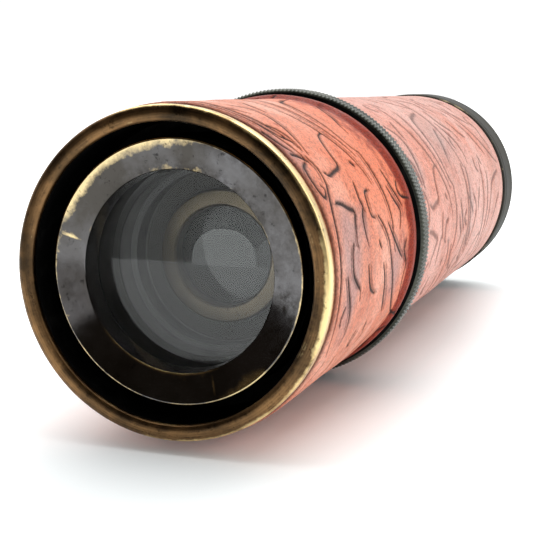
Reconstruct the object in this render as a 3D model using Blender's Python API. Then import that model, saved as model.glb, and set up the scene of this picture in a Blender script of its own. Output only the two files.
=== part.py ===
"""Leather-covered brass kaleidoscope, lying on its side.

The barrel's axis runs along Y: the object glass faces -Y and the eyepiece faces +Y.
The origin is on the table, under the middle of the length. The front barrel, which carries
the object cell and the knurled grip ring, turns on a bearing tube fixed in the rear barrel.
Every turned piece is drawn as a half section: (station, radius) points in millimetres, with the
station counted along the barrel from the front face of the rolled rim.
"""
import math

import bmesh
import bpy
from mathutils import Matrix, Vector

MM = 0.001

# Driving dimensions, in millimetres
RIM_RADIUS = 25.1
OVERALL_LENGTH = 178.8
GRIP_STATION = 52.1
GRIP_WIDTH = 4.7
GRIP_RADIUS = 27.3
FIT_GAP = 0.3
TUBE_RADIUS = 24.2
TUBE_WALL = 0.8
LEATHER_THICKNESS = 1.0

# Facets round the turned pieces
BARREL_SIDES = 36
CORE_SIDES = 24

# Radii shared by neighbouring pieces
TUBE_BORE = TUBE_RADIUS - TUBE_WALL
LEATHER_BORE = TUBE_RADIUS + FIT_GAP
LEATHER_RADIUS = LEATHER_BORE + LEATHER_THICKNESS
LEATHER_FLARE = 0.8
RIM_HALF_WIDTH = 1.25
BEARING_RADIUS = 22.45
BEARING_WALL = 0.8
LIP_BORE = BEARING_RADIUS + FIT_GAP
LIP_LENGTH = 1.2
CELL_RADIUS = 20.3
CELL_BORE = 19.3
CELL_FILL_RADIUS = CELL_BORE - FIT_GAP
BEZEL_BORE = 15.4
SPACER_BORE = 14.4
SPACER_STEP = 1.0
INNER_APERTURE = 8.3
INNER_RING_RADIUS = 11.0
MIRROR_TUBE_RADIUS = 16.0
MIRROR_TUBE_BORE = 15.2
EYE_HOLE_RADIUS = 3.5

# Stations along the barrel
RIM_NOSE = 0.75
RIM_BAND_END = 2.6
LEATHER_START = 2.9
FLARE_START = 46.5
FRONT_LEATHER_END = 51.0
FRONT_TUBE_END = 56.5
REAR_TUBE_START = 57.3
REAR_LEATHER_END = 160.2
END_CAP_START = 160.5
END_CAP_REAR = 175.8
REAR_TUBE_END = 173.4
BEZEL_FACE = 2.95
BEZEL_DISH = 1.2
CELL_START = 5.95
GLASS_STATION = 8.35
GLASS_THICKNESS = 2.2
SPACER_STEP_STATIONS = (15.75, 20.25)
SEAT_STATION = 24.75
CELL_END = 30.35
CARRIER_STATION = 13.75
CARRIER_WIDTH = 4.0
BEARING_START = 44.5
BEARING_END = 76.0
MIRROR_START = 32.75
MIRROR_END = 165.75
FRONT_CENTRING_STATION = 64.0
REAR_CENTRING_STATION = 156.0
CENTRING_WIDTH = 4.0

# Mirror prism: three strips round an equilateral triangle
MIRROR_INRADIUS = 6.6
MIRROR_THICKNESS = 2.0
MIRROR_COUNT = 3

AXIS_HEIGHT = GRIP_RADIUS * math.cos(math.pi / BARREL_SIDES)


def clear_scene():
    for stray in list(bpy.data.objects):
        bpy.data.objects.remove(stray, do_unlink=True)


def make_material(name, colour, roughness, metallic=0.0, transmission=0.0):
    material = bpy.data.materials.new(name)
    material.use_nodes = True
    shader = material.node_tree.nodes["Principled BSDF"]
    shader.inputs["Base Color"].default_value = (*colour, 1.0)
    shader.inputs["Roughness"].default_value = roughness
    shader.inputs["Metallic"].default_value = metallic
    shader.inputs["Transmission Weight"].default_value = transmission
    material.diffuse_color = (*colour, 1.0)
    return material


def axis_empty(name):
    """An empty on the barrel's axis at mid-length; a whole body hangs on it."""
    empty = bpy.data.objects.new(name, None)
    empty.location = (0.0, 0.0, AXIS_HEIGHT * MM)
    bpy.context.collection.objects.link(empty)
    return empty


def along(station):
    """Distance of a station from mid-length, in metres."""
    return (station - OVERALL_LENGTH / 2) * MM


def add_object(name, shape, material, body):
    """Close up a bmesh in the body's local frame and hang it on the body's empty."""
    bmesh.ops.recalc_face_normals(shape, faces=shape.faces)
    mesh = bpy.data.meshes.new(name)
    shape.to_mesh(mesh)
    shape.free()
    mesh.materials.append(material)
    mesh.shade_smooth()
    mesh.set_sharp_from_angle(angle=math.radians(30))
    piece = bpy.data.objects.new(name, mesh)
    piece.parent = body
    bpy.context.collection.objects.link(piece)
    return piece


def turned(name, outline, material, body, sides=BARREL_SIDES):
    """Turn a closed (station, radius) outline about the barrel's axis.

    A facet, not an edge, faces straight down. Points with radius 0 become one vertex on the axis.
    """
    shape = bmesh.new()
    columns = []
    for side in range(sides):
        angle = math.tau * (side + 0.5) / sides
        columns.append([
            shape.verts.new((radius * math.sin(angle) * MM, along(station), -radius * math.cos(angle) * MM))
            if radius > 0 else None
            for station, radius in outline
        ])
    for index, (station, radius) in enumerate(outline):
        if radius == 0:
            centre = shape.verts.new((0.0, along(station), 0.0))
            for column in columns:
                column[index] = centre
    for column, following in zip(columns, columns[1:] + columns[:1]):
        for index in range(len(outline)):
            previous = index - 1
            corners = [column[previous], column[index], following[index], following[previous]]
            corners = list(dict.fromkeys(corners))
            if len(corners) > 2:
                shape.faces.new(corners)
    return add_object(name, shape, material, body)


def arc(station, radius, size, start, end, steps):
    """Points along an arc in the section; degrees run from +station towards +radius."""
    angles = [math.radians(start + (end - start) * step / steps) for step in range(steps + 1)]
    return [(station + size * math.cos(a), radius + size * math.sin(a)) for a in angles]


def sleeve(start, end, bore, radius, edge=0.0):
    """Outline of a plain ring or tube, its outer edges rounded off by a small flat."""
    if edge == 0.0:
        return [(start, bore), (end, bore), (end, radius), (start, radius)]
    return [
        (start, bore), (end, bore), (end, radius - edge), (end - edge, radius),
        (start + edge, radius), (start, radius - edge),
    ]


# Front barrel: the part that is turned by hand

def build_front_tube(brass, body):
    """Brass tube with its front edge rolled over, blunt in front, and its rear edge crimped in."""
    rim_middle = RIM_RADIUS - RIM_HALF_WIDTH
    outline = [(RIM_BAND_END, TUBE_RADIUS), (RIM_BAND_END, RIM_RADIUS)]
    for step in range(9):
        angle = math.pi * step / 8
        outline.append((RIM_NOSE * (1 - math.sin(angle)), rim_middle + RIM_HALF_WIDTH * math.cos(angle)))
    outline += [
        (RIM_NOSE + 1.0, rim_middle - RIM_HALF_WIDTH),
        (LEATHER_START + 0.6, TUBE_BORE),
        (FRONT_TUBE_END - LIP_LENGTH, TUBE_BORE),
        (FRONT_TUBE_END - LIP_LENGTH, LIP_BORE),
        (FRONT_TUBE_END, LIP_BORE),
        (FRONT_TUBE_END, TUBE_RADIUS),
    ]
    turned("front_tube", outline, brass, body)


def build_front_skin(leather, brass, body):
    """Leather sleeve that flares at its rear, then the knurled grip ring behind an open groove."""
    edge = 0.3
    flared = LEATHER_RADIUS + LEATHER_FLARE
    turned("front_leather", [
        (LEATHER_START, LEATHER_BORE), (FRONT_LEATHER_END, LEATHER_BORE), (FRONT_LEATHER_END, flared - edge),
        (FRONT_LEATHER_END - edge, flared), (FLARE_START, LEATHER_RADIUS),
        (LEATHER_START + edge, LEATHER_RADIUS), (LEATHER_START, LEATHER_RADIUS - edge),
    ], leather, body)
    grip_end = GRIP_STATION + GRIP_WIDTH
    turned("knurled_ring", sleeve(GRIP_STATION, grip_end, LEATHER_BORE, GRIP_RADIUS, 0.6), brass, body)


def build_object_cell(brass, black, glass, body):
    """Cell in the mouth of the barrel: bezel, clear glass, stepped spacer and inner window."""
    turned("carrier_ring", sleeve(CARRIER_STATION, CARRIER_STATION + CARRIER_WIDTH,
                                  CELL_RADIUS + FIT_GAP, TUBE_BORE - FIT_GAP), black, body)
    turned("cell_tube", [
        (CELL_START, CELL_BORE), (CELL_END - 0.9, CELL_BORE), (CELL_END - 0.9, CELL_BORE - 1.3),
        (CELL_END, CELL_BORE - 1.3), (CELL_END, CELL_RADIUS), (CELL_START, CELL_RADIUS),
    ], black, body)
    turned("bezel_ring", [
        (BEZEL_FACE + 0.4, CELL_RADIUS), (BEZEL_FACE, CELL_RADIUS - 0.4),
        (BEZEL_FACE + BEZEL_DISH, BEZEL_BORE + 0.3), (BEZEL_FACE + BEZEL_DISH + 0.3, BEZEL_BORE),
        (GLASS_STATION - FIT_GAP, BEZEL_BORE), (GLASS_STATION - FIT_GAP, CELL_FILL_RADIUS),
        (CELL_START - FIT_GAP, CELL_FILL_RADIUS), (CELL_START - FIT_GAP, CELL_RADIUS),
    ], brass, body)
    glass_end = GLASS_STATION + GLASS_THICKNESS
    turned("object_glass", disc(GLASS_STATION, glass_end, CELL_FILL_RADIUS), glass, body)
    spacer_start = glass_end + FIT_GAP
    spacer_end = SEAT_STATION - FIT_GAP
    first_step, second_step = SPACER_STEP_STATIONS
    turned("spacer_tube", [
        (spacer_start, SPACER_BORE + 2 * SPACER_STEP), (first_step, SPACER_BORE + 2 * SPACER_STEP),
        (first_step, SPACER_BORE + SPACER_STEP), (second_step, SPACER_BORE + SPACER_STEP),
        (second_step, SPACER_BORE),
        (spacer_end, SPACER_BORE), (spacer_end, CELL_FILL_RADIUS), (spacer_start, CELL_FILL_RADIUS),
    ], black, body)


def build_inner_window(brass, black, glass, body):
    """Seat behind the spacer, with a small lens that a bright brass ring holds in."""
    seat_end = CELL_END - 0.9 - FIT_GAP
    pocket_end = seat_end - 1.2
    turned("lens_seat", [
        (SEAT_STATION, INNER_RING_RADIUS + FIT_GAP), (pocket_end, INNER_RING_RADIUS + FIT_GAP),
        (pocket_end, INNER_APERTURE + FIT_GAP), (seat_end, INNER_APERTURE + FIT_GAP),
        (seat_end, CELL_FILL_RADIUS), (SEAT_STATION, CELL_FILL_RADIUS),
    ], black, body, CORE_SIDES)
    lens_start = SEAT_STATION + 0.6
    turned("inner_ring", sleeve(SEAT_STATION - 2.2, lens_start - FIT_GAP, INNER_APERTURE,
                                INNER_RING_RADIUS, 0.4), brass, body, CORE_SIDES)
    turned("inner_lens", disc(lens_start, pocket_end - FIT_GAP, INNER_RING_RADIUS - 0.2),
           glass, body, CORE_SIDES)


def disc(start, end, radius):
    """Outline of a plain disc, closed along the axis."""
    return [(start, 0.0), (end, 0.0), (end, radius), (start, radius)]


# Rear barrel: the part that is held, with the mirrors and the eyepiece

def build_bearing(brass, felt, front, rear):
    """Bearing tube whose front flange is caught by the front tube's crimped lip, and its felt band."""
    flange_radius = TUBE_BORE - FIT_GAP
    bore = BEARING_RADIUS - BEARING_WALL
    turned("bearing_tube", [
        (BEARING_START, bore), (BEARING_END, bore), (BEARING_END, BEARING_RADIUS),
        (BEARING_START + LIP_LENGTH, BEARING_RADIUS), (BEARING_START + LIP_LENGTH, flange_radius),
        (BEARING_START, flange_radius),
    ], brass, rear)
    band_start = BEARING_START + LIP_LENGTH + FIT_GAP
    band_end = FRONT_TUBE_END - LIP_LENGTH - FIT_GAP
    turned("felt_band", sleeve(band_start, band_end, LIP_BORE, flange_radius), felt, front)


def build_rear_barrel(brass, leather, body):
    """Brass tube crimped onto the bearing tube, in its leather sleeve."""
    turned("rear_tube", [
        (REAR_TUBE_START, LIP_BORE), (REAR_TUBE_START + LIP_LENGTH, LIP_BORE),
        (REAR_TUBE_START + LIP_LENGTH, TUBE_BORE), (REAR_TUBE_END, TUBE_BORE),
        (REAR_TUBE_END, TUBE_RADIUS), (REAR_TUBE_START, TUBE_RADIUS),
    ], brass, body)
    turned("rear_leather", sleeve(REAR_TUBE_START, REAR_LEATHER_END, LEATHER_BORE, LEATHER_RADIUS, 0.3),
           leather, body)


def build_eyepiece(brass, black, glass, body):
    """End cap over the rear tube, with a screwed-in eye collar, its glass and retaining ring."""
    cap_radius = LEATHER_RADIUS + 0.4
    edge = 1.6
    plate = 1.8
    collar_hole = 9.3
    plate_front = END_CAP_REAR - plate
    outline = [(END_CAP_START, LEATHER_BORE), (plate_front, LEATHER_BORE), (plate_front, collar_hole),
               (END_CAP_REAR, collar_hole)]
    outline += arc(END_CAP_REAR - edge, cap_radius - edge, edge, 0, 90, 3)
    outline += [(END_CAP_START + 0.5, cap_radius), (END_CAP_START, cap_radius - 0.5)]
    turned("end_cap", outline, brass, body)
    collar_radius = collar_hole - FIT_GAP
    glass_front = END_CAP_REAR - 1.2
    glass_radius = 7.4
    turned("eye_collar", [
        (glass_front - 3.8, glass_radius + FIT_GAP), (glass_front + 1.5, glass_radius + FIT_GAP),
        (glass_front + 1.5, EYE_HOLE_RADIUS), (OVERALL_LENGTH - 0.8, EYE_HOLE_RADIUS),
        (OVERALL_LENGTH, EYE_HOLE_RADIUS + 1.5), (OVERALL_LENGTH, 11.6), (OVERALL_LENGTH - 0.8, 12.4),
        (END_CAP_REAR + FIT_GAP, 12.4), (END_CAP_REAR + FIT_GAP, collar_radius),
        (glass_front - 3.8, collar_radius),
    ], brass, body, CORE_SIDES)
    turned("eye_glass", disc(glass_front, glass_front + 1.2, glass_radius), glass, body, CORE_SIDES)
    turned("eye_retainer", sleeve(glass_front - 2.0, glass_front - FIT_GAP, 5.6, glass_radius),
           black, body, CORE_SIDES)


def build_mirror_tube(black, card, body):
    """Tube that carries the mirrors, held on the barrel's axis by two centring rings and two masks."""
    turned("mirror_tube", sleeve(MIRROR_START, MIRROR_END, MIRROR_TUBE_BORE, MIRROR_TUBE_RADIUS),
           black, body, CORE_SIDES)
    ring_bore = MIRROR_TUBE_RADIUS + FIT_GAP
    bearing_bore = BEARING_RADIUS - BEARING_WALL
    for name, start, around in (
        ("front_centring_ring", FRONT_CENTRING_STATION, bearing_bore),
        ("rear_centring_ring", REAR_CENTRING_STATION, TUBE_BORE),
    ):
        outline = sleeve(start, start + CENTRING_WIDTH, ring_bore, around - FIT_GAP)
        turned(name, outline, card, body, CORE_SIDES)
    mask_radius = MIRROR_TUBE_BORE - FIT_GAP
    turned("front_mask", sleeve(MIRROR_START, MIRROR_START + 1.0, INNER_APERTURE, mask_radius),
           black, body, CORE_SIDES)
    turned("rear_mask", sleeve(MIRROR_END - 1.0, MIRROR_END, EYE_HOLE_RADIUS + 1.0, mask_radius),
           black, body, CORE_SIDES)


def bar(name, section, start, end, roll, material, body):
    """Extrude a convex (x, z) section in millimetres along the barrel, rolled about its axis."""
    turn = Matrix.Rotation(roll, 3, "Y")
    shape = bmesh.new()
    near, far = [
        [shape.verts.new(turn @ Vector((x * MM, along(station), z * MM))) for x, z in section]
        for station in (start, end)
    ]
    shape.faces.new(near)
    shape.faces.new(reversed(far))
    for index in range(len(section)):
        shape.faces.new((near[index - 1], far[index - 1], far[index], near[index]))
    return add_object(name, shape, material, body)


def build_mirrors(mirror, foam, body):
    """Three mirror strips round the axis, each with a foam strip packed behind it."""
    half_width = MIRROR_INRADIUS * math.sqrt(3) - FIT_GAP
    back = MIRROR_INRADIUS + MIRROR_THICKNESS
    strip = [(-half_width, -MIRROR_INRADIUS), (half_width, -MIRROR_INRADIUS),
             (half_width, -back), (-half_width, -back)]
    foam_front = back + FIT_GAP
    foam_radius = MIRROR_TUBE_BORE * math.cos(math.pi / CORE_SIDES) - FIT_GAP
    foam_sweep = math.degrees(math.acos(foam_front / foam_radius)) - 6
    packing = [(x, z) for x, z in arc(0.0, 0.0, foam_radius, 270 - foam_sweep, 270 + foam_sweep, 6)]
    packing += [(packing[-1][0], -foam_front), (packing[0][0], -foam_front)]
    start = MIRROR_START + 1.0 + FIT_GAP
    end = MIRROR_END - 1.0 - FIT_GAP
    for number in range(MIRROR_COUNT):
        roll = math.tau * number / MIRROR_COUNT
        bar(f"mirror_{number + 1}", strip, start, end, roll, mirror, body)
        bar(f"packing_{number + 1}", packing, start + 2.0, end - 2.0, roll, foam, body)


def build_kaleidoscope():
    brass = make_material("aged_brass", (0.30, 0.21, 0.12), 0.38, metallic=1.0)
    knurled = make_material("knurled_brass", (0.22, 0.21, 0.17), 0.45, metallic=1.0)
    blackened = make_material("blackened_brass", (0.02, 0.02, 0.02), 0.6)
    leather = make_material("tooled_leather", (0.66, 0.27, 0.18), 0.6)
    clear = make_material("clear_glass", (0.9, 0.93, 0.95), 0.02, transmission=1.0)
    silver = make_material("front_silvered_mirror", (0.9, 0.9, 0.9), 0.03, metallic=1.0)
    card = make_material("black_card", (0.05, 0.05, 0.05), 0.9)
    foam = make_material("packing_foam", (0.25, 0.25, 0.27), 0.95)
    felt = make_material("felt", (0.12, 0.10, 0.09), 0.95)

    front = axis_empty("front_barrel_axis")
    rear = axis_empty("rear_barrel_axis")

    build_front_tube(brass, front)
    build_front_skin(leather, knurled, front)
    build_object_cell(brass, blackened, clear, front)
    build_inner_window(brass, blackened, clear, front)
    build_bearing(brass, felt, front, rear)
    build_rear_barrel(brass, leather, rear)
    build_eyepiece(brass, blackened, clear, rear)
    build_mirror_tube(blackened, card, rear)
    build_mirrors(silver, foam, rear)


clear_scene()
build_kaleidoscope()
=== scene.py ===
"""Looks of a leather-covered brass kaleidoscope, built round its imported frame.

Everything turned is described as a half section of (station, radius) points in metres. A station is
the distance along the barrel (+Y) from the front of the rolled rim, and a radius is the distance
from the barrel's axis.
"""
import math
import random

import bpy
import numpy as np
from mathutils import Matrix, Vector


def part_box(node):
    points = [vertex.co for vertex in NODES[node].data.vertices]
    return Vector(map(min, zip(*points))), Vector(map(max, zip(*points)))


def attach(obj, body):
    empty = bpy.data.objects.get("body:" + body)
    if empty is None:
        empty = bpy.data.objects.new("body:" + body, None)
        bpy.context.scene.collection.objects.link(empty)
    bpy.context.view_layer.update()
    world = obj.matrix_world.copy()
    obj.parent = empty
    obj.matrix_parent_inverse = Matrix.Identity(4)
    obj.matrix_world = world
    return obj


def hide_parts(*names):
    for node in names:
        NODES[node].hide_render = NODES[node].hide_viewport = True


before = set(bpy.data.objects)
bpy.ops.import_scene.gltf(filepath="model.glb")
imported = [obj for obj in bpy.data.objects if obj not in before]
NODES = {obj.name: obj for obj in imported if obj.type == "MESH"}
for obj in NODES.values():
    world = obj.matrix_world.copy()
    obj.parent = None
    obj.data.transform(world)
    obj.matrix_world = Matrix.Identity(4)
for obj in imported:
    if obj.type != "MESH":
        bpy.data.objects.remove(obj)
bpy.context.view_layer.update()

MM = 0.001
FRONT = "front_barrel"
REAR = "rear_barrel"


def section(node):
    """(first station, last station, bore, outer radius) of a CAD node."""
    low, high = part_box(node)
    radii = [math.hypot(v.co.x, v.co.z - AXIS_HEIGHT) for v in NODES[node].data.vertices]
    return low.y - FACE, high.y - FACE, min(radii), max(radii)


GRIP_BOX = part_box("knurled_ring")
AXIS_HEIGHT = (GRIP_BOX[0].z + GRIP_BOX[1].z) / 2
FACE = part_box("front_tube")[0].y
FLOOR_LEVEL = GRIP_BOX[0].z
SECTIONS = {name: section(name) for name in NODES}
# Inscribed over circumscribed radius of the frame's 36-sided rings
FACET = math.cos(math.pi / 36)
FLARE = 0.8 * MM
DISH_DEGREES = 12


# Mesh helpers

def finish_mesh(name, points, faces, material, body, sharp=35):
    mesh = bpy.data.meshes.new(name)
    mesh.from_pydata(points, [], faces)
    mesh.materials.append(material)
    mesh.shade_smooth()
    mesh.set_sharp_from_angle(angle=math.radians(sharp))
    piece = bpy.data.objects.new(name, mesh)
    bpy.context.scene.collection.objects.link(piece)
    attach(piece, body)
    return piece


def wrap(name, stations, radii, material, body, closed=True, sharp=35):
    """Loft rows of points round the barrel's axis; row i lies at stations[i] with radii[i, side].

    A closed loft joins its last row to its first, like a ring. An open one gets two flat caps.
    """
    radii = np.asarray(radii, float)
    rows, sides = radii.shape
    stations = np.asarray(stations, float)
    if stations.ndim == 1:
        stations = np.repeat(stations[:, None], sides, axis=1)
    angles = np.linspace(0, math.tau, sides, endpoint=False)
    points = np.stack([
        radii * np.sin(angles), FACE + stations, AXIS_HEIGHT + radii * np.cos(angles),
    ], axis=-1).reshape(-1, 3)
    row = np.arange(rows if closed else rows - 1)[:, None]
    side = np.arange(sides)[None, :]
    after_row = (row + 1) % rows
    after_side = (side + 1) % sides
    faces = np.stack([
        row * sides + side, row * sides + after_side,
        after_row * sides + after_side, after_row * sides + side,
    ], axis=-1).reshape(-1, 4)
    turning = np.roll(stations[:, 0], -1) * radii[:, 0] - stations[:, 0] * np.roll(radii[:, 0], -1)
    if turning.sum() < 0:
        faces = faces[:, ::-1]
    faces = faces.tolist()
    if not closed:
        first, last = list(range(sides)), list(range((rows - 1) * sides, rows * sides))
        forward = stations[-1, 0] > stations[0, 0]
        faces += [first[::-1], last] if forward == (turning.sum() >= 0) else [first, last[::-1]]
    return finish_mesh(name, points.tolist(), faces, material, body, sharp)


def paint(piece, name, values):
    """Store one number per vertex under a name that the materials read."""
    layer = piece.data.attributes.new(name, "FLOAT", "POINT")
    layer.data.foreach_set("value", np.asarray(values, np.float32).ravel())


def turned(name, outline, material, body, sides=192, closed=True, sharp=35):
    """Turn an outline that has no relief round the axis."""
    outline = np.asarray(outline, float)
    radii = np.repeat(outline[:, 1][:, None], sides, axis=1)
    return wrap(name, outline[:, 0], radii, material, body, closed, sharp)


def arc(station, radius, size, start, end, steps=8):
    """Points on an arc in the section; degrees run from +station towards +radius."""
    angles = np.radians(np.linspace(start, end, steps + 1))
    return [(station + size * math.cos(a), radius + size * math.sin(a)) for a in angles]


def smooth_noise(rng, count, waves, size):
    """A closed wavy line round the barrel: a few sines with seeded phases."""
    angle = np.linspace(0, math.tau, count, endpoint=False)
    line = np.zeros(count)
    for wave in waves:
        line += math.sin(rng.random() * 9) * np.sin(wave * angle + rng.random() * math.tau)
    return size * line / len(waves)


# Material helpers

def new_material(name):
    material = bpy.data.materials.new(name)
    material.use_nodes = True
    tree = material.node_tree
    return material, tree, tree.nodes["Principled BSDF"]


def node(tree, kind, inputs=None, **settings):
    made = tree.nodes.new(kind)
    for key, value in settings.items():
        setattr(made, key, value)
    for key, value in (inputs or {}).items():
        if isinstance(value, bpy.types.NodeSocket):
            tree.links.new(value, made.inputs[key])
        else:
            made.inputs[key].default_value = value
    return made


def place(tree, stretch=(1, 1, 1)):
    """Object coordinates, which are the frame's metres, stretched along X, Y and Z."""
    coordinates = node(tree, "ShaderNodeTexCoord").outputs["Object"]
    return node(tree, "ShaderNodeMapping", {"Vector": coordinates, "Scale": stretch}).outputs[0]


def noise(tree, scale, detail=4.0, roughness=0.55, stretch=(1, 1, 1), distortion=0.0):
    inputs = {"Vector": place(tree, stretch), "Scale": scale, "Detail": detail,
              "Roughness": roughness, "Distortion": distortion}
    return node(tree, "ShaderNodeTexNoise", inputs).outputs["Fac"]


def ramp(tree, value, stops):
    """Colour ramp; each stop is (position, grey or colour)."""
    made = node(tree, "ShaderNodeValToRGB", {"Fac": value})
    elements = made.color_ramp.elements
    while len(elements) < len(stops):
        elements.new(0.5)
    for element, (position, colour) in zip(elements, stops):
        element.position = position
        colour = (colour,) * 3 if isinstance(colour, (int, float)) else colour
        element.color = (*colour, 1.0)
    return made.outputs["Color"]


def blend(tree, share, first, second, kind="MIX"):
    made = node(tree, "ShaderNodeMix", data_type="RGBA", blend_type=kind)
    for socket, value in ((0, share), (6, first), (7, second)):
        if isinstance(value, bpy.types.NodeSocket):
            tree.links.new(value, made.inputs[socket])
        elif socket == 0:
            made.inputs[socket].default_value = value
        else:
            made.inputs[socket].default_value = (*value, 1.0)
    return made.outputs[2]


def maths(tree, operation, first, second=0.0, third=0.0, clamp=False):
    return node(tree, "ShaderNodeMath", {0: first, 1: second, 2: third}, operation=operation,
                use_clamp=clamp).outputs[0]


def attribute(tree, name):
    return node(tree, "ShaderNodeAttribute", attribute_name=name).outputs["Fac"]


def bump(tree, height, distance, strength=1.0, below=None):
    inputs = {"Height": height, "Distance": distance, "Strength": strength}
    if below is not None:
        inputs["Normal"] = below
    return node(tree, "ShaderNodeBump", inputs).outputs[0]


def connect(tree, shader, **sockets):
    for key, value in sockets.items():
        socket = shader.inputs[key.replace("_", " ")]
        if isinstance(value, bpy.types.NodeSocket):
            tree.links.new(value, socket)
        else:
            socket.default_value = value


# Materials

def aged_brass(name, dark, warm, gold, roughness=(0.22, 0.42), pitted=0.25, turned_lines=0.25,
               metal=1.0):
    """Old brass: patina in two tones, dark where tarnished and rubbed bright where worn, darker where
    reflection bands are painted in and lighter where highlights are painted in.

    The tarnish and wear attributes are painted per vertex, and a piece may have neither; on the rolled
    rim they also carry painted reflection bands and painted highlights. roughness is that of the
    smoothest and the roughest clouds.
    """
    material, tree, shader = new_material(name)
    cloud = noise(tree, 90, 5, 0.6)
    speck = noise(tree, 900, 3, 0.7)
    patina = blend(tree, ramp(tree, cloud, [(0.38, 0.0), (0.66, 1.0)]), dark, warm)
    blotch = ramp(tree, noise(tree, 420, 5, 0.75), [(0.40, 0.1), (0.60, 1.0)])
    # Dark from the tarnish attribute: tarnish, and on the rim painted reflection bands.
    tarnish_and_reflection_share = maths(tree, "MULTIPLY", attribute(tree, "tarnish_and_reflection"), blotch, clamp=True)
    patina = blend(tree, tarnish_and_reflection_share, patina, (0.020, 0.017, 0.014))
    rub = maths(tree, "MULTIPLY_ADD", noise(tree, 260, 4, 0.7), 1.1, -0.55)
    # Bare brass from the wear attribute: wear, and on the rim painted highlights.
    wear_and_highlight_share = maths(tree, "ADD", attribute(tree, "wear_and_highlight"), rub)
    wear_and_highlight_share = ramp(tree, wear_and_highlight_share, [(0.36, 0.0), (0.70, 1.0)])
    colour = blend(tree, wear_and_highlight_share, patina, gold)
    pits = ramp(tree, speck, [(0.28, 0.35), (0.40, 1.0)])
    colour = blend(tree, 1.0, colour, pits, "MULTIPLY")
    rough = ramp(tree, maths(tree, "ADD", cloud, maths(tree, "MULTIPLY", speck, 0.3)),
                 [(0.40, roughness[0]), (0.85, roughness[1])])
    scratches = noise(tree, 700, 3, 0.6, (1, 9, 1))
    normal = bump(tree, scratches, 0.00003, turned_lines)
    normal = bump(tree, speck, 0.00004, pitted, normal)
    connect(tree, shader, Base_Color=colour, Metallic=metal, Roughness=rough, Normal=normal)
    return material


def blackened(name, tone=(0.008, 0.008, 0.008), edge=(0.20, 0.20, 0.19), roughness=0.55,
              gloss=0.3, grit=0.5):
    """Matt black paint on brass: a little dust, and grey where the wear attribute is high: worn metal,
    and on the spacer's rear bore edge a painted highlight.
    """
    material, tree, shader = new_material(name)
    dust = ramp(tree, noise(tree, 260, 3, 0.6), [(0.5, 0.0), (0.8, 1.0)])
    colour = blend(tree, maths(tree, "MULTIPLY", dust, 0.2), tone, (0.06, 0.057, 0.053))
    colour = blend(tree, attribute(tree, "wear_and_highlight"), colour, edge)
    rough = ramp(tree, noise(tree, 220), [(0.3, roughness - 0.1), (0.7, roughness + 0.15)])
    normal = bump(tree, noise(tree, 1500, 3, 0.6), 0.00003, grit)
    connect(tree, shader, Base_Color=colour, Roughness=rough, Normal=normal,
            Specular_IOR_Level=gloss)
    return material


def tooled_leather(name, tones, tint, glow=(0.80, 0.190, 0.075), burnt=(0.27, 0.026, 0.007)):
    """Waxed leather: grain, grey antiquing, red burnish and dark stain in the tooled lines; the dark
    strip next to the knurled ring is partly painted shade.
    """
    material, tree, shader = new_material(name)
    wide = noise(tree, 60, 4, 0.6, (1, 1.6, 1), 0.6)
    mottle = noise(tree, 330, 5, 0.65)
    fine = noise(tree, 1500, 3, 0.6)
    base = ramp(tree, wide, [(0.32, tones[0]), (0.50, tones[1]), (0.68, tones[2])])
    shade = ramp(tree, mottle, [(0.30, 0.80), (0.50, 1.0), (0.75, 1.10)])
    base = blend(tree, 1.0, base, shade, "MULTIPLY")
    warmed = maths(tree, "MULTIPLY", attribute(tree, "warm"), 0.7, clamp=True)
    base = blend(tree, warmed, base, glow)
    antique = maths(tree, "ADD", attribute(tree, "antique"), maths(tree, "MULTIPLY", mottle, 0.5))
    antique = ramp(tree, antique, [(0.50, 0.0), (1.0, 1.0)])
    coloured = blend(tree, maths(tree, "MULTIPLY", antique, 0.8), base, tint)
    edge = maths(tree, "MULTIPLY_ADD", mottle, 2.2, -1.1)
    burnish = ramp(tree, maths(tree, "ADD", attribute(tree, "burnish"), edge),
                   [(0.10, 0.0), (0.75, 1.0)])
    coloured = blend(tree, burnish, coloured, burnt)
    grain = node(tree, "ShaderNodeTexVoronoi",
                 {"Vector": place(tree), "Scale": 2700.0, "Randomness": 1.0}).outputs["Distance"]
    pores = ramp(tree, grain, [(0.0, 1.0), (0.35, 0.95), (0.75, 0.45)])
    pebble = ramp(tree, maths(tree, "ADD", maths(tree, "MULTIPLY", pores, 0.5),
                              maths(tree, "MULTIPLY", fine, 0.9)), [(0.55, 0.62), (0.95, 1.15)])
    coloured = blend(tree, 1.0, coloured, pebble, "MULTIPLY")
    # Dark stain in the tooled lines and at the edges, and next to the knurled ring partly painted
    # shade.
    stain_and_shade = attribute(tree, "stain_and_shade")
    coloured = blend(tree, stain_and_shade, coloured, (0.030, 0.009, 0.006))
    rough = ramp(tree, maths(tree, "ADD", mottle, maths(tree, "MULTIPLY", stain_and_shade, 0.4)),
                 [(0.3, 0.40), (0.9, 0.68)])
    normal = bump(tree, pores, 0.00010, 0.8)
    normal = bump(tree, fine, 0.00012, 0.6, normal)
    connect(tree, shader, Base_Color=coloured, Roughness=rough, Normal=normal,
            Specular_IOR_Level=0.22)
    return material


def clear_glass(name, refraction=1.5, colour=(0.97, 0.985, 0.98), passed=1.0, haze=0.05):
    """Glass with faint dust and wipe marks in its roughness.

    refraction is its index, passed the share of it that is clear, haze its greatest roughness.
    """
    material, tree, shader = new_material(name)
    rough = ramp(tree, noise(tree, 130, 5, 0.7, (1, 1, 3)), [(0.45, 0.0), (0.85, haze)])
    connect(tree, shader, Base_Color=(*colour, 1.0), Roughness=rough, IOR=refraction,
            Transmission_Weight=passed)
    return material


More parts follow.
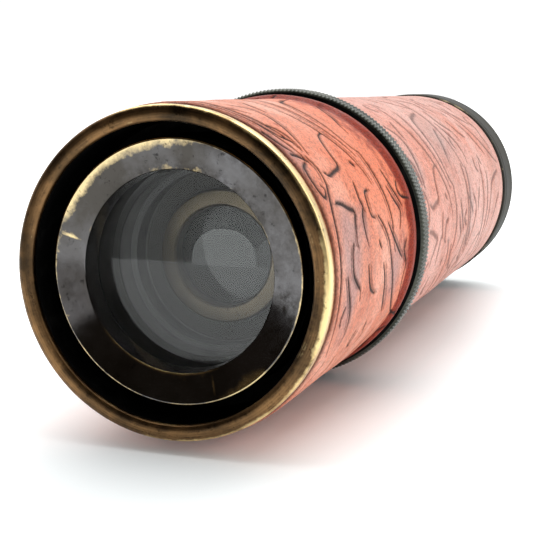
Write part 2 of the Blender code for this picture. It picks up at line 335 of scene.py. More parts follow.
def mirror_glass(name):
    """First-surface mirror with faint clouding."""
    material, tree, shader = new_material(name)
    rough = ramp(tree, noise(tree, 200, 4), [(0.4, 0.02), (0.8, 0.09)])
    colour = ramp(tree, noise(tree, 80, 3), [(0.3, (0.84, 0.85, 0.86)), (0.7, (0.90, 0.91, 0.92))])
    connect(tree, shader, Base_Color=colour, Metallic=1.0, Roughness=rough)
    return material


def fibrous(name, low, high, scale, height):
    """Card, foam or felt: mottled and fully matt."""
    material, tree, shader = new_material(name)
    fibre = noise(tree, scale, 6, 0.7)
    colour = ramp(tree, fibre, [(0.3, low), (0.7, high)])
    connect(tree, shader, Base_Color=colour, Roughness=0.95, Normal=bump(tree, fibre, height))
    return material


def plain_floor(name):
    """Pale floor that glows to an even white with the distance, in metres, from the object."""
    material, tree, shader = new_material(name)
    tone = ramp(tree, noise(tree, 6, 2), [(0.3, (0.905, 0.945, 0.95)), (0.7, (0.925, 0.965, 0.97))])
    along_barrel = 0.30
    away = node(tree, "ShaderNodeVectorMath", {0: place(tree, (1, along_barrel, 1))},
                operation="LENGTH")
    glow = ramp(tree, away.outputs["Value"],
                [(0.022, 0.0), (0.042, 0.42), (0.09, 0.60), (0.60, 0.90)])
    connect(tree, shader, Base_Color=tone, Roughness=0.7, Specular_IOR_Level=0.2,
            Emission_Color=glow, Emission_Strength=1.0)
    return material


RIM_BRASS = aged_brass("rim_brass", (0.065, 0.041, 0.022), (0.310, 0.170, 0.072),
                       (0.82, 0.62, 0.30), (0.24, 0.40), 0.15, 0.3)
BEZEL_BRASS = aged_brass("bezel_brass", (0.068, 0.062, 0.056), (0.140, 0.136, 0.140),
                         (0.72, 0.56, 0.30), (0.04, 0.09), 0.03, 0.05)
KNURL_BRASS = aged_brass("knurl_brass", (0.050, 0.054, 0.046), (0.115, 0.120, 0.100),
                         (0.36, 0.37, 0.31), (0.3, 0.5))
CAP_BRASS = aged_brass("cap_brass", (0.016, 0.015, 0.011), (0.044, 0.040, 0.029),
                       (0.52, 0.43, 0.25), (0.60, 0.80), metal=0.45)
INNER_BRASS = aged_brass("inner_brass", (0.100, 0.081, 0.054), (0.165, 0.132, 0.086),
                         (0.45, 0.37, 0.25), (0.3, 0.5), 0.03, 0.05)
BLACK = blackened("black_paint", (0.034, 0.032, 0.028), grit=0.05)
# Near-black: black paint inside the tubes and in the rim's groove, and painted shade on the knurled
# ring's flat faces.
GROOVE_BLACK_AND_SHADE = blackened("groove_black_and_shade", (0.003, 0.003, 0.003), roughness=0.8, gloss=0.05)
SPACER = blackened("spacer_black", (0.028, 0.028, 0.027), (0.22, 0.22, 0.21), 0.50, 0.4, 0.05)
FRONT_LEATHER = tooled_leather("front_terracotta_leather", (
    (0.56, 0.170, 0.095), (0.70, 0.250, 0.150), (0.82, 0.400, 0.290)), (0.42, 0.225, 0.200))
REAR_LEATHER = tooled_leather("rear_terracotta_leather", (
    (0.58, 0.260, 0.195), (0.68, 0.350, 0.285), (0.76, 0.440, 0.375)), (0.46, 0.330, 0.310))
OBJECT_GLASS = clear_glass("object_glass", 1.38, haze=0.01)
MILKY_GLASS = clear_glass("inner_glass", 1.45, (0.044, 0.048, 0.047), 0.5, 0.02)
GLASS = clear_glass("eye_glass")
MIRROR = mirror_glass("mirror_strip")
CARD = fibrous("black_card", (0.02, 0.02, 0.02), (0.06, 0.055, 0.05), 900, 0.0001)
FOAM = fibrous("grey_foam", (0.16, 0.16, 0.17), (0.30, 0.30, 0.31), 700, 0.0004)
FELT = fibrous("brown_felt", (0.07, 0.055, 0.045), (0.16, 0.13, 0.11), 1500, 0.0003)


# Leather tooling

# One repeat of the tooling, listed as (degrees round from the top, millimetres from the
# front of the rim).
SCROLLS = [
    [(10.5, 3.5), (14, 6), (18, 8), (22, 10)],
    [(13, 11), (18, 13.5), (24, 14), (30, 13.3), (38, 12), (46, 10.8)],
    [(27, 6), (31, 6), (36, 7), (40, 9.5), (43, 10)],
    [(47, 9), (52, 10), (58, 9.5), (62, 8), (68, 6.2), (76, 5.2), (88, 4.6), (100, 4.4), (110, 5),
     (117, 6.5)],
    [(49, 7), (51, 5), (55, 4.2), (60, 4.6), (62.5, 6), (60, 7.4), (58, 6.6)],
    [(45, 4), (46, 6), (49, 8.5)],
    [(33, 3.4), (40, 4), (44, 5.5)],
    [(65, 9.5), (66, 12), (68, 14.5), (70, 17), (74, 15.8), (79, 14.5), (82, 14.9)],
    [(80, 12.5), (83, 11.5), (87, 11.2), (91, 12), (95, 14.5), (97, 16), (101, 16.6)],
    [(100.5, 8.6), (104, 7.3), (107, 7.9)],
    [(54, 12), (55.5, 13.5), (54.5, 16.5), (53, 20), (48, 20.5), (43, 21.5), (39, 23.5), (37.5, 26)],
    [(90, 20), (95, 21), (99, 22.5), (102, 25.5)],
    [(64, 28), (65, 26), (69, 25.2), (73, 25.3), (74.5, 27)],
    [(74, 29), (78, 31), (84, 33), (90, 34), (98, 36.5), (107, 40), (113, 43), (118, 46.5), (121, 50)],
    [(52, 27), (54, 28.2)],
    [(83, 27), (86, 28)],
    [(6, 47), (8, 42), (11, 37.5), (16, 35), (24, 33.3), (33, 32.8), (41, 33), (46, 34), (49, 35.8)],
    [(49, 35.8), (58, 36), (68, 36.7), (78, 37), (87, 36.5), (90, 37.4)],
    [(19, 47), (24, 44.5), (30, 42.5), (35, 40.5), (39, 40)],
    [(65, 39.5), (70, 41), (75, 43.5), (78, 43), (82, 41.5)],
    [(88, 46), (92, 44.5), (97, 46.5), (104, 46), (112, 47.5)],
    [(64, 47), (68, 45.5), (72, 48.5)],
    [(115, 21), (119, 20), (122, 21.5)],
    [(114, 27), (119, 28.5)],
    [(11, 19), (17, 17), (22, 16.4)],
    [(-4, 4.4), (6, 4.0), (16, 4.2), (26, 5.0), (36, 5.8), (44, 7.4), (50, 8.4)],
    [(-2, 8), (8, 7.2), (18, 6.4), (28, 7.4), (38, 8.6), (44, 9.6)],
    [(30, 8), (34, 9.6), (40, 10.2)],
    [(-3, 26), (8, 24.5), (20, 24), (31, 25), (42, 27.5), (52, 30), (62, 32)],
    [(4, 32), (14, 30), (26, 29), (38, 30), (50, 32.5)],
    [(70, 22), (73, 20.4), (78, 20), (83, 20.6)],
    [(60, 22.6), (66, 21.8), (71, 22.6)],
    [(78, 34), (84, 36.5), (90, 40), (94, 43)],
    [(58, 41), (66, 42.5), (74, 45.5)],
    [(92, 29), (98, 31), (106, 33.5), (114, 37)],
    [(90, 8), (96, 9.6), (103, 12), (110, 13), (116, 12.4)],
]
SCROLL_SPAN = 120
CREASE_HALF_WIDTH = 0.26
# How far a stroke is felt on each side, and the spacing of its samples, in millimetres
STROKE_REACH = 2.6
STROKE_STEP = 0.16
# A distance to a line, in its half widths, at which the line has no effect
FAR = 99.0


def curve_through(points, step):
    """Catmull-Rom curve through the given points, sampled about every step."""
    ends = [points[0]] + list(points) + [points[-1]]
    samples = []
    for before, first, second, after in zip(ends, ends[1:], ends[2:], ends[3:]):
        before, first, second, after = map(np.array, (before, first, second, after))
        count = max(2, int(np.linalg.norm(second - first) / step))
        for t in np.linspace(0, 1, count, endpoint=False):
            samples.append(0.5 * (
                2 * first + (second - before) * t
                + (2 * before - 5 * first + 4 * second - after) * t ** 2
                + (3 * first - before - 3 * second + after) * t ** 3
            ))
    samples.append(np.array(points[-1], float))
    return samples


def stamp(distance, stroke, around, row_height, start, half_width):
    """Lower each grid point's distance to the stroke, in units of the stroke's own half width.

    The stroke is in millimetres (round the barrel, along it) and thins out towards both ends. The
    grid's points are around apart round the barrel and row_height apart along it, from start.
    """
    rows, sides = distance.shape
    row_reach, column_reach = STROKE_REACH / row_height, STROKE_REACH / around
    samples = curve_through(stroke, STROKE_STEP)
    for index, (across, along) in enumerate(samples):
        share = index / max(1, len(samples) - 1)
        width = half_width * (0.55 + 0.45 * math.sin(math.pi * min(1.0, share * 1.15)) ** 0.5)
        column, row = across / around, (along - start) / row_height
        low = max(0, int(row - row_reach))
        high = min(rows - 1, int(row + row_reach) + 1)
        if low > high:
            continue
        near_rows = np.arange(low, high + 1)
        near_columns = np.arange(int(column - column_reach), int(column + column_reach) + 2)
        window = np.ix_(near_rows, near_columns % sides)
        gap = np.hypot((near_rows[:, None] - row) * row_height,
                       (near_columns[None, :] - column) * around) / width
        distance[window] = np.minimum(distance[window], gap)


def tooling(radius, start, end, sides, rows, repeats, rng, half_width):
    """Distances to the cut lines and to the faint creases beside them, in their own half widths.

    repeats lists each copy's (degrees to turn, millimetres to shift, stretch along the barrel,
    flip). A stroke of four points or more also gets a crease beside part of it.
    """
    millimetres_per_degree = radius * math.tau / 360 / MM
    around = radius * math.tau / sides / MM
    row_height = (end - start) / (rows - 1) / MM
    cuts, creases = np.full((rows, sides), FAR), np.full((rows, sides), FAR)
    for turn, shift, stretch, flip in repeats:
        for scroll in SCROLLS:
            laid = []
            for degrees, station in scroll:
                degrees = (SCROLL_SPAN - degrees if flip else degrees) + turn
                laid.append((degrees * millimetres_per_degree, station * stretch + shift))
            stamp(cuts, laid, around, row_height, start / MM, half_width)
            if len(laid) < 4:
                continue
            offset = rng.choice((-1, 1)) * rng.uniform(0.8, 1.4)
            beside = [(x + rng.uniform(-0.3, 0.3), y + offset + rng.uniform(-0.15, 0.15))
                      for x, y in laid[:rng.integers(3, len(laid) + 1)]]
            stamp(creases, beside, around, row_height, start / MM, CREASE_HALF_WIDTH)
    return cuts, creases


def groove(distance):
    """Rounded section of a line: 1 on its middle, fading over its own half width."""
    return np.exp(-(distance * 0.8) ** 2)


def smoothstep(value):
    value = np.clip(value, 0, 1)
    return value * value * (3 - 2 * value)


def patch(angles, outer, degrees, station, half_degrees, half_length):
    """Soft oval spot on a sleeve's grid, 1 in its middle."""
    around = np.degrees(np.angle(np.exp(1j * (angles - math.radians(degrees))))) / half_degrees
    along = (outer - station * MM) / (half_length * MM)
    return np.exp(-around ** 2 - along ** 2)


def leather_sleeve(name, node_name, body, material, grid, repeats, seed, flare, spots, edge_band,
                   cut):
    """A sleeve with tooled lines, softly swollen leather between them and pressed edges.

    grid is (sides, rows). flare is how far its rear end is rolled outwards. spots are (paint,
    amount, degrees, station, half degrees, half length). edge_band is (station where burnishing
    starts, direction). cut is the tooled lines' (depth, half width) in millimetres, and how dark
    they and the faint creases beside them are stained.
    """
    start, end, bore, radius = SECTIONS[node_name]
    sides, rows = grid
    depth, half_width, darkness, crease_darkness = cut
    rng = np.random.default_rng(seed)
    radius = radius * FACET - flare
    outer = np.linspace(start, end, rows)[:, None]
    angles = np.linspace(0, math.tau, sides, endpoint=False)[None, :]
    cuts, creases = tooling(radius, start, end, sides, rows, repeats, rng, half_width)
    relief = -depth * MM * groove(cuts)
    relief -= depth * 0.7 * crease_darkness * MM * groove(creases)
    raised_lip, lip_distance = 0.035 * MM, 2.6
    relief += raised_lip * np.exp(-((cuts - lip_distance) * 0.9) ** 2)
    swell = np.zeros((rows, sides))
    for wave in range(7):
        phase, lean = rng.random() * math.tau, rng.uniform(-300, 300)
        swell += np.sin((wave + 2) * angles + lean * outer + phase)
    swell_height = 0.02 * MM
    relief += swell_height * swell
    lumps = smooth_noise(random.Random(seed), sides, (3, 5, 8, 13, 21, 34), 1.0)[None, :]
    waver = lumps * 0.9 * MM
    roll_length, roll_rise = 3.6 * MM, 1.7 * MM
    roll_start = end - roll_length - waver
    roll = smoothstep((outer - roll_start) / roll_rise) * np.ones((1, sides))
    relief += flare * roll * (0.93 + 0.07 * lumps)
    edge = np.minimum(outer - start, end - outer) / MM
    edge_drop = 0.35 * MM
    relief = relief - edge_drop * np.exp(-edge / 0.28)
    clearance = 0.06 * MM
    skin = radius - clearance + relief
    stations = np.concatenate([[start, start], outer[:, 0], [end, end]])
    inner_lip = np.full((1, sides), bore + 0.3 * MM)
    inside = np.full((1, sides), bore)
    radii = np.vstack([inside, inner_lip, skin, inner_lip, inside])
    piece = wrap(name, stations, radii, material, body)
    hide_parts(node_name)

    paints = {"antique": 0.18 * np.exp(-(cuts / 3.5) ** 2), "warm": np.zeros((rows, sides)),
              "burnish": np.zeros((rows, sides))}
    for spot in range(10):
        degrees, station = rng.uniform(0, 360), rng.uniform(start, end) / MM
        paints["antique" if spot % 2 else "warm"] += 0.45 * patch(
            angles, outer, degrees, station, rng.uniform(12, 25), rng.uniform(3, 8))
    for channel, amount, *place_and_size in spots:
        paints[channel] += amount * patch(angles, outer, *place_and_size)
    band_start, direction = edge_band
    band_fade = 1.6 * MM
    paints["burnish"] += smoothstep(direction * (outer - band_start * MM - waver) / band_fade)
    stain_and_shade = darkness * np.clip(1.6 * groove(cuts), 0, 1)
    stain_and_shade = np.maximum(stain_and_shade, crease_darkness * groove(creases))
    stain_and_shade = np.maximum(stain_and_shade, 0.85 * np.exp(-edge / 0.35))
    # Next to the knurled ring: warmer colour, and a dark strip that is partly burnish and partly
    # painted shade from the ring.
    if flare:
        warm_length, warm_fade = 9 * MM, 5 * MM
        paints["warm"] += 0.8 * smoothstep((outer - end + warm_length + lumps * MM) / warm_fade)
        stain_and_shade = np.maximum(stain_and_shade, 0.55 * smoothstep(1.10 - (end - outer) / MM + 0.35 * lumps))
    paints["stain_and_shade"] = stain_and_shade
    blank = np.zeros((2, sides))
    for channel, values in paints.items():
        paint(piece, channel, np.vstack([blank, np.clip(values, 0, 1.2), blank]))


def build_leather():
    """Front sleeve with three repeats of the tooling, and rear sleeve with two rows of three."""
    front_start, front_end = (station / MM for station in SECTIONS["front_leather"][:2])
    shift = front_start - 2.9
    copies = [(0, shift, 1, False), (118, 1.5 + shift, 1, True), (240, 0.5 + shift, 1, False)]
    leather_sleeve(
        "front_leather_sleeve", "front_leather", FRONT, FRONT_LEATHER, (720, 270), copies, 3,
        FLARE * FACET, [
            ("warm", 0.75, 50, 22, 22, 12), ("warm", 1.2, 30, 43, 40, 8),
            ("warm", 0.7, 70, 36, 16, 9), ("antique", 1.1, 82, 11, 17, 5),
            ("antique", 0.6, 75, 20, 9, 4), ("antique", 0.5, 45, 4, 14, 3),
            ("burnish", 0.60, 30, 46, 32, 4), ("burnish", 0.45, 88, 45, 14, 4),
            ("antique", 0.8, 98, 38, 14, 6),
        ], (front_end - 4.4, 1), (0.24, 0.30, 1.0, 0.60))
    rear_start = SECTIONS["rear_leather"][0] / MM
    copies = []
    for level, offset in ((-2, 25), (46, 70)):
        for turn in (0, 118, 240):
            copies.append((turn + offset, rear_start + level, 1.05, (turn + level) % 4 == 0))
    leather_sleeve(
        "rear_leather_sleeve", "rear_leather", REAR, REAR_LEATHER, (560, 350), copies, 8, 0.0, [
            ("warm", 0.5, 60, 75, 40, 12), ("antique", 0.5, 50, 100, 20, 14),
        ], (rear_start - 0.5, -1), (0.18, 0.42, 0.60, 0.10))


# Brass

def spots_in_section(piece, outline, sides, spots, name="wear_and_highlight"):
    """Paint spots into one attribute, wear and painted highlights by default, tarnish and painted
    reflection when named: spots are (station, radius, size, amount) in the section.

    A spot may also give the middle and half width, in degrees, of the stretch that it covers.
    """
    outline = np.asarray(outline, float)
    angles = np.degrees(np.linspace(0, math.tau, sides, endpoint=False))[None, :]
    wear_and_highlight = np.zeros((len(outline), sides))
    for station, radius, size, amount, *window in spots:
        away = np.hypot(outline[:, 0] - station, outline[:, 1] - radius)[:, None] / size
        spot = amount * np.exp(-away ** 2) * np.ones((1, sides))
        if window:
            turned_away = np.abs((angles - window[0] + 180) % 360 - 180) / window[1]
            spot = spot * np.exp(-turned_away ** 4)
        wear_and_highlight = np.maximum(wear_and_highlight, spot)
    paint(piece, name, wear_and_highlight)


def paint_black_and_shade(piece, wanted):
    """Give the near-black material to the faces whose middle (station, radius) is wanted: black paint,
    and on the knurled ring's flat faces also painted shade.
    """
    piece.data.materials.append(GROOVE_BLACK_AND_SHADE)
    for face in piece.data.polygons:
        station = face.center.y - FACE
        radius = math.hypot(face.center.x, face.center.z - AXIS_HEIGHT)
        if wanted(station, radius, face.normal.y):
            face.material_index = 1


def build_rim():
    """Front tube: a rolled rim with a blunt nose and an outer band of worn brass with painted
    highlights, and the tube behind it.
    """
    _, end, _, radius = SECTIONS["front_tube"]
    outer = radius * FACET
    half_width, nose, band_end = 1.25 * MM, 0.75 * MM, 2.6 * MM
    middle = outer - half_width
    tube, bore = 24.15 * MM, 23.4 * MM
    lip, lip_height = 1.2 * MM, 0.65 * MM
    band_edge, round_over = 0.35 * MM, 0.3 * MM
    leather_end = SECTIONS["front_leather"][1]
    outline = [(band_end, tube), (band_end, outer - band_edge)]
    outline += arc(band_end - round_over, outer - band_edge, round_over, 30, 90, 4)
    outline += [(1.5 * MM, outer - 0.01 * MM)]
    nose_steps = 32
    for step in range(nose_steps + 1):
        angle = math.pi * step / nose_steps
        outline.append((nose * (1 - math.sin(angle) ** 0.9), middle + half_width * math.cos(angle)))
    nose_rows = range(len(outline) - nose_steps - 1, len(outline))
    outline += [(1.3 * MM, middle - half_width + 0.06 * MM),
                (1.9 * MM, middle - half_width + 0.35 * MM),
                (3.3 * MM, bore - 0.1 * MM), (3.9 * MM, bore), (end - lip - 0.1 * MM, bore),
                (end - lip, bore - 0.1 * MM), (end - lip, bore - lip_height),
                (end, bore - lip_height), (end, tube), (leather_end + 1.2 * MM, tube),
                (leather_end - 0.2 * MM, tube), (band_end + 0.8 * MM, tube)]
    sides = 256
    outline = np.array(outline)
    wobble = np.zeros((len(outline), sides))
    wobble[nose_rows] = smooth_noise(random.Random(5), sides, (2, 3, 5, 9, 14, 23), 0.035 * MM)
    radii = outline[:, 1][:, None] + wobble
    piece = wrap("rolled_rim", outline[:, 0], radii, RIM_BRASS, FRONT)
    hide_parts("front_tube")
    band, shoulder = (1.6 * MM, outer), (0.45 * MM, outer - 0.10 * MM)
    # The lighter gold here is partly rubbed brass and partly painted highlight: brighter on the
    # right-hand side and along the top of the band and shoulder, with thin light lines along the inner
    # edge.
    spots_in_section(piece, outline, sides, [
        (*band, 1.2 * MM, 0.95, 80, 80), (*band, 0.9 * MM, 0.30), (*band, 0.6 * MM, 0.75, -5, 40),
        (*shoulder, 0.52 * MM, 0.95, 50, 34), (*shoulder, 0.85 * MM, 0.90, 92, 26),
        (*shoulder, 0.6 * MM, 0.66, 148, 48), (*shoulder, 0.5 * MM, 0.60, 5, 40),
        (*shoulder, 0.35 * MM, 0.32), (nose, middle - half_width, 0.35 * MM, 0.55, 180, 62),
        (0.2 * MM, middle - 0.9 * MM, 0.30 * MM, 0.27),
        (0.1 * MM, middle - 0.5 * MM, 0.40 * MM, 0.30, 95, 40),
    ])
    # Dark rings that change from row to row of the section are painted reflection bands of the rim's
    # rolled profile; the streaks round the rim are tarnish.
    reflection_rings = np.array([0.5 + 0.5 * math.sin(3.1 * row + 2 * math.sin(1.3 * row))
                        for row in range(len(outline))])
    streaks = smooth_noise(random.Random(9), sides, (1, 2, 4, 7, 19, 41, 67), 0.5)
    paint(piece, "tarnish_and_reflection", np.clip(0.75 * reflection_rings[:, None] + streaks[None, :], 0, 0.7))
    paint_black_and_shade(piece, lambda station, around, _: (station > 1.9 * MM and around < 24.0 * MM)
                or station > leather_end - 0.3 * MM)


def build_bezel():
    """Bezel of the object cell, dished like a cone, its edges rubbed to bare brass."""
    start, end, bore, radius = SECTIONS["bezel_ring"]
    radius *= FACET
    edge, lip = 0.30 * MM, 0.22 * MM
    slope = math.radians(DISH_DEGREES)
    outline = arc(start + edge, radius - edge, edge, 90, 180 + DISH_DEGREES, 8)
    cone_start = outline[-1]
    inner = bore + lip * (1 - math.sin(slope))
    depth = (cone_start[1] - inner) * math.tan(slope)
    for share in (0.02, 0.04, 0.5, 0.96, 0.98):
        outline.append((cone_start[0] + depth * share,
                        cone_start[1] + (inner - cone_start[1]) * share))
    cone_end = cone_start[0] + depth
    outline += arc(cone_end + lip * math.cos(slope), bore + lip, lip, 180 + DISH_DEGREES, 270, 6)
    fill, shoulder = 19.0 * MM, start + 2.7 * MM
    outline += [(end, bore), (end, fill), (shoulder, fill), (shoulder, radius)]
    sides = 256
    piece = turned("bezel", outline, BEZEL_BRASS, FRONT, sides)
    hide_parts("bezel_ring")
    rim_edge = (start + edge * 0.4, radius - edge * 0.4)
    lip_edge = (cone_end, bore + lip * 0.5)
    spots = [(*rim_edge, 0.35 * MM, 0.62), (*rim_edge, 1.2 * MM, 0.78, -35, 46),
             (*rim_edge, 1.5 * MM, 0.80, 145, 14), (*lip_edge, 0.22 * MM, 0.30),
             (*lip_edge, 0.28 * MM, 0.75, 190, 45), (*lip_edge, 1.1 * MM, 0.34, 0, 40)]
    nicks = ((-83, 0.8, 0.4), (-80, 1.6, 0.8), (-77, 1.4, 0.6), (-74, 2.6, 0.5), (-113, 0.7, 0.4),
             (-108, 1.2, 0.3), (140, 1.6, 0.4), (160, 2.4, 0.3), (-150, 1.0, 0.3))
    for degrees, away, size in nicks:
        spots.append((start + 0.3 * MM, radius - away * MM, size * MM, 0.85, degrees, 0.9))
    spots_in_section(piece, outline, sides, spots)
    face = (cone_start[0] + depth / 2, (cone_start[1] + inner) / 2)
    # Darker patches on the dished face at the right and at the left, and along the lip and the outer
    # edge near the top.
    spots_in_section(piece, outline, sides, [
        (*face, 2.6 * MM, 0.95, 104, 11), (*face, 9.0 * MM, 0.40, 75, 30),
        (*face, 2.0 * MM, 0.55, -100, 14), (*lip_edge, 0.9 * MM, 0.75, 20, 60),
        (*rim_edge, 1.2 * MM, 0.60, 35, 30),
    ], "tarnish_and_reflection")


def build_grip():
    """Knurled ring: two rows of slanted teeth round a thin parting groove."""
    start, end, bore, radius = SECTIONS["knurled_ring"]
    radius = radius * FACET - 0.005 * MM
    tooth_depth, parting_depth, end_drop, slant_teeth = 0.36, 0.22, 0.50, 0.9
    teeth, per_tooth = 225, 6
    sides = teeth * per_tooth
    width = end - start
    shoulder = radius - 0.75 * MM
    rows = [np.full(sides, bore), np.full(sides, shoulder)]
    stations = [start, start]
    angle = np.arange(sides) / per_tooth
    for share in np.linspace(0, 1, 25):
        slant = slant_teeth * (share if share < 0.5 else 1.0 - share)
        tooth = 0.5 + 0.5 * np.cos(math.tau * (angle + slant))
        from_middle = min(1.0, abs(share - 0.5) * 12)
        fade = min(1.0, 9 * share, 9 * (1 - share)) * from_middle
        drop = tooth_depth * (1 - tooth) * fade + parting_depth * (1 - from_middle)
        drop += end_drop * max(0.0, 1 - min(share, 1 - share) * 9) ** 2
        stations.append(start + (0.02 + 0.96 * share) * width)
        rows.append(radius - drop * MM)
    rows += [np.full(sides, shoulder), np.full(sides, bore)]
    stations += [end, end]
    rows = np.array(rows)
    piece = wrap("knurled_grip_ring", stations, rows, KNURL_BRASS, FRONT, sharp=50)
    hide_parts("knurled_ring")
    paint(piece, "wear_and_highlight", np.clip(((rows - radius) / MM + 0.20) * 2.5, 0, 0.6))
    # The ring's flat faces are made near-black: partly black paint, partly painted shade standing in
    # for a dark recess under the knurled rim.
    paint_black_and_shade(piece, lambda station, around, facing: abs(facing) > 0.95)


def build_end_cap():
    """End cap with turned lines on its rear face and its side, and rubbed edges."""
    start, end, bore, radius = SECTIONS["end_cap"]
    radius *= FACET
    collar_hole = 9.3 * MM
    plate = end - 1.8 * MM
    line = 0.18 * MM
    rear_round, front_round = 1.6 * MM, 0.5 * MM
    outline = [(start, bore), (plate, bore), (plate, collar_hole), (end, collar_hole)]
    for away in (13.0, 20.0):
        outline += [(end, (away - 0.2) * MM), (end - line, away * MM), (end, (away + 0.2) * MM)]
    outline += arc(end - rear_round, radius - rear_round, rear_round, 0, 90, 10)
    for away in (11.0, 3.2, 2.2):
        at = start + away * MM
        outline += [(at + line, radius), (at, radius - line), (at - line, radius)]
    outline += arc(start + front_round, radius - front_round, front_round, 90, 180, 5)
    sides = 224
    piece = turned("end_cap_shell", outline, CAP_BRASS, REAR, sides)
    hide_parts("end_cap")
    spots_in_section(piece, outline, sides, [
        (end - 0.5 * MM, radius - 0.5 * MM, 1.0 * MM, 0.6), (start, radius, 0.5 * MM, 0.45),
    ])


def build_collar():
    """Eye collar with a milled edge and a funnel round the eye hole."""
    start, end, bore, radius = SECTIONS["eye_collar"]
    glass_bore, neck = 7.7 * MM, 9.0 * MM
    seat = SECTIONS["end_cap"][1] + 0.3 * MM
    funnel, edge, chamfer = 1.6 * MM, 0.9 * MM, 0.3 * MM
    outline = [(start, glass_bore), (seat, glass_bore), (seat, bore), (end - funnel, bore)]
    outline += arc(end - funnel, bore + funnel, funnel, 270, 360, 6)
    outline += arc(end - edge, radius - edge, edge, 0, 90, 6)
    outline += [(seat + chamfer, radius), (seat, radius - chamfer), (seat, neck), (start, neck)]
    teeth, per_tooth = 96, 6
    sides = teeth * per_tooth
    outline = np.array(outline)
    radii = np.repeat(outline[:, 1][:, None], sides, axis=1)
    tooth = 0.5 - 0.5 * np.cos(math.tau * np.arange(sides) / per_tooth)
    edge_rows = np.isclose(outline[:, 1], radius, atol=0.12 * MM)
    tooth_depth = 0.22 * MM
    radii[edge_rows] -= tooth_depth * tooth
    piece = wrap("eye_collar_ring", outline[:, 0], radii, CAP_BRASS, REAR, sharp=50)
    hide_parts("eye_collar")
    spots_in_section(piece, outline, sides, [(end, radius - 0.6 * MM, 0.8 * MM, 0.75),
                                       (end - 0.3 * MM, bore + 0.6 * MM, 0.6 * MM, 0.6)])


# Cell and optics

def lens(name, node_name, body, bulge, material):
    """A round glass with bevelled edges; bulge is how far its front face curves back to its edge."""
    start, end, _, radius = SECTIONS[node_name]
    radius = radius * FACET - 0.05 * MM
    chamfer = 0.25 * MM
    rings = 14
    outline = [(start + bulge * (ring / rings) ** 2, (radius - chamfer) * ring / rings)
               for ring in range(1, rings + 1)]
    outline += [(start + bulge + chamfer, radius), (end - chamfer, radius),
                (end, radius - chamfer), (end, radius * 0.02)]
    piece = turned(name, outline, material, body, 96, closed=False, sharp=25)
    piece.visible_shadow = False
    piece.visible_diffuse = False
    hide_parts(node_name)


def build_cell():
    """Cell tube, stepped spacer, bright inner ring and the glasses."""
    start, end, bore, radius = SECTIONS["cell_tube"]
    radius *= FACET
    fill, foot = 19.3 * MM, 0.9 * MM
    outline = [(start, fill), (end - foot, fill), (end - foot, bore), (end, bore),
               (end, radius), (start + 0.2 * MM, radius), (start, radius - 0.2 * MM)]
    piece = turned("cell_sleeve", outline, GROOVE_BLACK_AND_SHADE, FRONT)
    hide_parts("cell_tube")

    start, end, bore, radius = SECTIONS["spacer_tube"]
    radius *= FACET
    first, second = start + 5.0 * MM, start + 9.5 * MM
    steps = ((start, first, bore + 2 * MM), (first, second, bore + MM), (second, end, bore))
    lines, sides = 4, 160
    outline = []
    for low, high, level in steps:
        for line in range(lines):
            at = low + (high - low) * line / lines
            outline += [(at + 0.12 * MM, level + 0.02 * MM),
                        (at + 0.8 * (high - low) / lines, level)]
        outline[-1] = (high - 0.12 * MM, level)
    outline += [(end, bore + 0.3 * MM), (end, radius), (start, radius)]
    piece = turned("stepped_spacer", outline, SPACER, FRONT, sides)
    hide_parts("spacer_tube")
    # The grey along the rear bore edge is a painted highlight; there is also a faint lighter band on
    # the second step and on the wall in front of it.
    spots_in_section(piece, outline, sides, [
        (end, bore, 0.30 * MM, 0.95), (second, bore + 0.5 * MM, 0.4 * MM, 0.20),
        (second - 2.2 * MM, bore + MM, 2.0 * MM, 0.12),
    ])

    start, end, bore, radius = SECTIONS["inner_ring"]
    edge, sides = 0.35 * MM, 128
    outline = [(start + edge, bore), (end, bore), (end, radius)]
    outline += arc(start + edge, radius - edge, edge, 90, 180, 4)
    outline += [(start, bore + edge)]
    piece = turned("inner_brass_ring", outline, INNER_BRASS, FRONT, sides)
    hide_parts("inner_ring")
    spots_in_section(piece, outline, sides, [(start + edge, radius, 0.4 * MM, 0.5)])

    lens("object_glass_disc", "object_glass", FRONT, 0.0, OBJECT_GLASS)
    lens("inner_lens_disc", "inner_lens", FRONT, 0.45 * MM, MILKY_GLASS)
    lens("eye_glass_disc", "eye_glass", REAR, 0.0, GLASS)


def dress_frame():
    """Give each CAD node that still shows, or could be seen inside, its material."""
    looks = {
        "carrier_ring": GROOVE_BLACK_AND_SHADE, "lens_seat": BLACK, "mirror_tube": BLACK,
        "front_mask": BLACK, "rear_mask": BLACK, "eye_retainer": BLACK,
        "bearing_tube": INNER_BRASS, "rear_tube": INNER_BRASS,
        "front_centring_ring": CARD, "rear_centring_ring": CARD, "felt_band": FELT,
    }
    for number in (1, 2, 3):
        looks[f"mirror_{number}"] = MIRROR
        looks[f"packing_{number}"] = FOAM
    for name, material in looks.items():
        NODES[name].data.materials.clear()
        NODES[name].data.materials.append(material)


# Stage

def sheet(name, corners, faces, material):
    mesh = bpy.data.meshes.new(name)
    mesh.from_pydata(corners, [], faces)
    mesh.materials.append(material)
    mesh.shade_smooth()
    made = bpy.data.objects.new(name, mesh)
    bpy.context.scene.collection.objects.link(made)
    return made


def studio_card(name, outline, distance, colour, strength):
    """An upright card, distance in front of the rim; outline is (x, height) in metres.

    It shows only in what polished metal and glass mirror.
    """
    material, tree, shader = new_material(name)
    connect(tree, shader, Base_Color=(0.0, 0.0, 0.0, 1.0), Roughness=1.0, Specular_IOR_Level=0.0,
            Emission_Color=(*colour, 1.0), Emission_Strength=strength)
    corners = [(x, FACE - distance, FLOOR_LEVEL + height) for x, height in outline]
    card = sheet(name, corners, [tuple(range(len(corners)))], material)
    card.visible_camera = False
    card.visible_diffuse = False
    card.visible_transmission = False
    card.visible_shadow = False


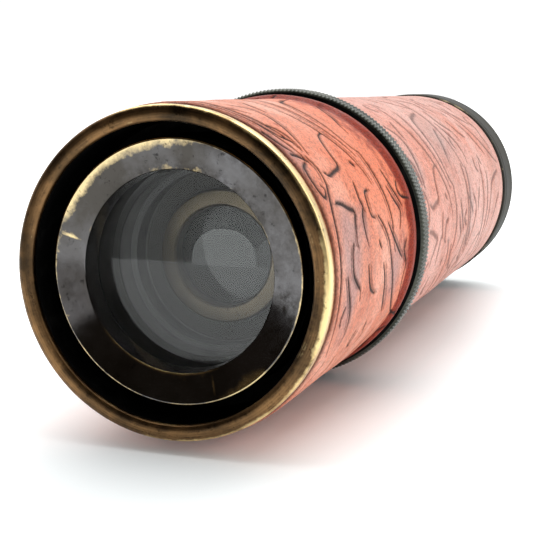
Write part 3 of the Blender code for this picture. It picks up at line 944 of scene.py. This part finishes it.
def build_stage():
    """Pale floor, and the cards that stand in for a room: dark wall, pale table, bright window."""
    half = 6.0
    corners = [(x * half, y * half, FLOOR_LEVEL) for x, y in ((-1, -1), (1, -1), (1, 1), (-1, 1))]
    sheet("floor", corners, [(0, 1, 2, 3)], plain_floor("pale_floor"))
    distance = 0.164
    studio_card("dark_card", [(-1.2, 0.0), (1.2, 0.0), (1.2, 1.0), (-1.2, 1.0)], distance,
                (1.0, 0.80, 0.60), 0.05)
    studio_card("pale_card", [(-0.078, 0.0), (0.118, 0.0), (0.118, 0.055), (0.010, 0.034),
                              (-0.0444, 0.0135), (-0.0520, 0.0060), (-0.071, 0.0020)],
                distance - 0.002, (1.0, 1.0, 1.0), 1.0)
    middle, half_width, height = -0.0625, 0.0108, 0.0117
    dome = [(middle + half_width * math.cos(a), height * math.sin(a) ** 0.7)
            for a in np.radians(np.linspace(0, 180, 24))]
    studio_card("dome_card", dome, distance - 0.004, (0.96, 1.0, 0.99), 2.6)


def soft_box(name, location, target, size, power):
    lamp = bpy.data.lights.new(name, "AREA")
    lamp.shape = "RECTANGLE"
    lamp.size, lamp.size_y = size
    lamp.energy = power
    made = bpy.data.objects.new(name, lamp)
    made.location = location
    made.rotation_euler = (Vector(target) - Vector(location)).to_track_quat("-Z", "Y").to_euler()
    bpy.context.scene.collection.objects.link(made)


def build_light():
    """White room, brighter in reflections and as a backdrop, a large box overhead and a fill."""
    world = bpy.data.worlds.new("studio")
    world.use_nodes = True
    tree = world.node_tree
    room = tree.nodes["Background"]
    room.inputs["Color"].default_value = (1.0, 1.0, 1.0, 1.0)
    light, backdrop_extra, reflection_extra = 0.46, 0.6, 0.7
    rays = node(tree, "ShaderNodeLightPath").outputs
    extra = maths(tree, "ADD", maths(tree, "MULTIPLY", rays["Is Camera Ray"], backdrop_extra),
                  maths(tree, "MULTIPLY", rays["Is Glossy Ray"], reflection_extra))
    tree.links.new(maths(tree, "ADD", extra, light), room.inputs["Strength"])
    bpy.context.scene.world = world
    aim = (0.0, 0.0, AXIS_HEIGHT)
    soft_box("overhead_box", (-0.05, 0.25, 0.80), aim, (1.3, 1.3), 9.5)
    soft_box("side_box", (0.80, -0.05, 0.50), aim, (0.6, 0.5), 1.2)


def build_camera():
    """Camera in front, to the right and above, placed in rim radii from the rim's middle."""
    rim, rim_station = 25 * MM, 0.75 * MM
    right, forward, up = 2.804, 6.047, 1.075
    degrees_down, degrees_left = 9.16, 19.47
    camera = bpy.data.cameras.new("camera")
    camera.sensor_width = 36.0
    camera.lens = 75.0
    camera.clip_start = 0.01
    made = bpy.data.objects.new("camera", camera)
    made.location = (right * rim, FACE + rim_station - forward * rim, AXIS_HEIGHT + up * rim)
    made.rotation_euler = (math.radians(90 - degrees_down), 0.0, math.radians(degrees_left))
    bpy.context.scene.collection.objects.link(made)
    bpy.context.scene.camera = made


bpy.context.scene.view_settings.view_transform = "Standard"
build_camera()
build_leather()
build_rim()
build_bezel()
build_grip()
build_end_cap()
build_collar()
build_cell()
dress_frame()
build_stage()
build_light()
